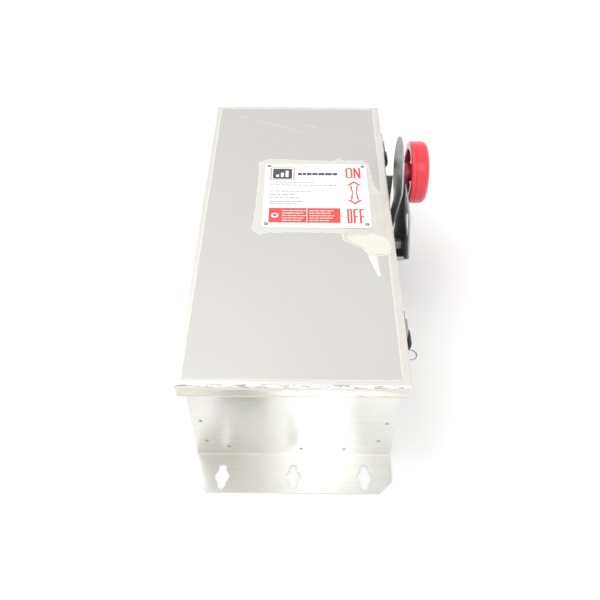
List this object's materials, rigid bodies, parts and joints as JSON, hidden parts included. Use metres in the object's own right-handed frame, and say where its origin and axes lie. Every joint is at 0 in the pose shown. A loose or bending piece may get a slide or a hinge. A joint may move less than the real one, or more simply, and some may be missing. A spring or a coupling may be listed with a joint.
{
  "type": "fused disconnect switch",
  "caption": "Fused disconnect switch in a stainless wall enclosure with flanged ends, a hinged latched cover, a side handle with a round red knob, and fuse clips inside.",
  "frame": {"origin": "centre of the back mounting face", "axes": "+Z out of the front cover, +Y towards the line (top) end, +X towards the handle side"},
  "size_m": [0.2622, 0.5342, 0.175],
  "materials": {
    "brushed_stainless": "vertical brushed stainless sheet",
    "filmed_stainless": "stainless sheet under a matte protective film",
    "bright_stainless": "bright mill finish stainless",
    "red_plastic": "glossy red moulding",
    "black_moulding": "matte black thermoset",
    "black_grip": "satin black plastic",
    "label_film": "white printed plate",
    "seal_rubber": "soft black rubber",
    "plated_copper": "tin-flashed copper",
    "lug_alloy": "plated aluminium",
    "zinc_steel": "zinc-plated steel",
    "fuse_tube": "wound glass fibre with metal ferrules",
    "clear_shield": "clear insulating sheet"
  },
  "bodies": {
    "enclosure": {"wrapper": "brushed_stainless", "bottom_end_panel": "brushed_stainless", "top_end_panel": "brushed_stainless", "mounting_pan": "zinc_steel", "switch_base": "black_moulding", "fuse_base": "black_moulding", "line_shield": "clear_shield", "line_jaw_1": "plated_copper", "line_jaw_2": "plated_copper", "line_jaw_3": "plated_copper", "line_lug_1": "lug_alloy", "line_lug_2": "lug_alloy", "line_lug_3": "lug_alloy", "load_lug_1": "lug_alloy", "load_lug_2": "lug_alloy", "load_lug_3": "lug_alloy", "line_fuse_clip_1": "plated_copper", "line_fuse_clip_2": "plated_copper", "line_fuse_clip_3": "plated_copper", "load_fuse_clip_1": "plated_copper", "load_fuse_clip_2": "plated_copper", "load_fuse_clip_3": "plated_copper", "ground_bar": "lug_alloy", "mechanism_plate": "zinc_steel", "handle_bracket": "bright_stainless", "shaft_bushing": "black_moulding", "shaft_seal": "seal_rubber", "hinge_body_leaf_1": "bright_stainless", "hinge_body_leaf_2": "bright_stainless", "hinge_pin_1": "bright_stainless", "hinge_pin_2": "bright_stainless", "latch_base_1": "bright_stainless", "latch_base_2": "bright_stainless", "latch_pin_1": "zinc_steel", "latch_pin_2": "zinc_steel"},
    "cover": {"cover": "filmed_stainless", "gasket": "seal_rubber", "nameplate": "label_film", "hinge_cover_leaf_1": "bright_stainless", "hinge_cover_leaf_2": "bright_stainless", "strike_1": "bright_stainless", "strike_2": "bright_stainless"},
    "handle": {"handle_shaft": "zinc_steel", "handle_lever": "bright_stainless", "knob": "red_plastic", "knob_stud": "zinc_steel", "drive_crank": "zinc_steel"},
    "drive_link": {"drive_link": "zinc_steel"},
    "rotor": {"rotor_bar": "black_moulding", "blade_1": "plated_copper", "blade_2": "plated_copper", "blade_3": "plated_copper"},
    "latch_1": {"latch_lever_1": "bright_stainless", "latch_grip_1": "black_grip"},
    "latch_2": {"latch_lever_2": "bright_stainless", "latch_grip_2": "black_grip"},
    "latch_ring": {"latch_ring": "bright_stainless"},
    "fuse_1": {"fuse_1": "fuse_tube"},
    "fuse_2": {"fuse_2": "fuse_tube"},
    "fuse_3": {"fuse_3": "fuse_tube"}
  },
  "joints": [
    {"name": "cover_hinge", "type": "hinge", "parent": "enclosure", "child": "cover", "pos_m": [-0.1033, 0, 0.1145], "axis": [0, -1, 0], "range_deg": [0, 105]},
    {"name": "handle_swing", "type": "hinge", "parent": "enclosure", "child": "handle", "pos_m": [0.1, 0.027, 0.07], "axis": [1, 0, 0], "range_deg": [0, 88]},
    {"name": "drive_link_turn", "type": "hinge", "parent": "handle", "child": "drive_link", "pos_m": [0.0721, 0.01172, 0.05417], "axis": [1, 0, 0], "range_deg": [-88, 0]},
    {"name": "rotor_turn", "type": "hinge", "parent": "enclosure", "child": "rotor", "pos_m": [0, 0.082, 0.07], "axis": [1, 0, 0], "range_deg": [0, 88]},
    {"name": "latch_ring_swing", "type": "hinge", "parent": "enclosure", "child": "latch_ring", "pos_m": [0.1112, -0.1645, 0.0946], "axis": [0, 1, 0], "range_deg": [-45, 60]},
    {"name": "latch_1_release", "type": "hinge", "parent": "enclosure", "child": "latch_1", "pos_m": [0.107, -0.146, 0.072], "axis": [0, 1, 0], "range_deg": [0, 15], "stiffness_Nm_per_rad": 0.4, "springref_deg": -5.73},
    {"name": "latch_2_release", "type": "hinge", "parent": "enclosure", "child": "latch_2", "pos_m": [0.107, 0.162, 0.072], "axis": [0, 1, 0], "range_deg": [0, 15], "stiffness_Nm_per_rad": 0.4, "springref_deg": -5.73},
    {"name": "fuse_1_pull", "type": "slide", "parent": "enclosure", "child": "fuse_1", "axis": [0, 0, 1], "range_m": [0, 0.035]},
    {"name": "fuse_2_pull", "type": "slide", "parent": "enclosure", "child": "fuse_2", "axis": [0, 0, 1], "range_m": [0, 0.035]},
    {"name": "fuse_3_pull", "type": "slide", "parent": "enclosure", "child": "fuse_3", "axis": [0, 0, 1], "range_m": [0, 0.035]}
  ],
  "couplings": [
    {"joint": "drive_link_turn", "follows": "handle_swing", "ratio": -1},
    {"joint": "rotor_turn", "follows": "handle_swing", "ratio": 1}
  ]
}
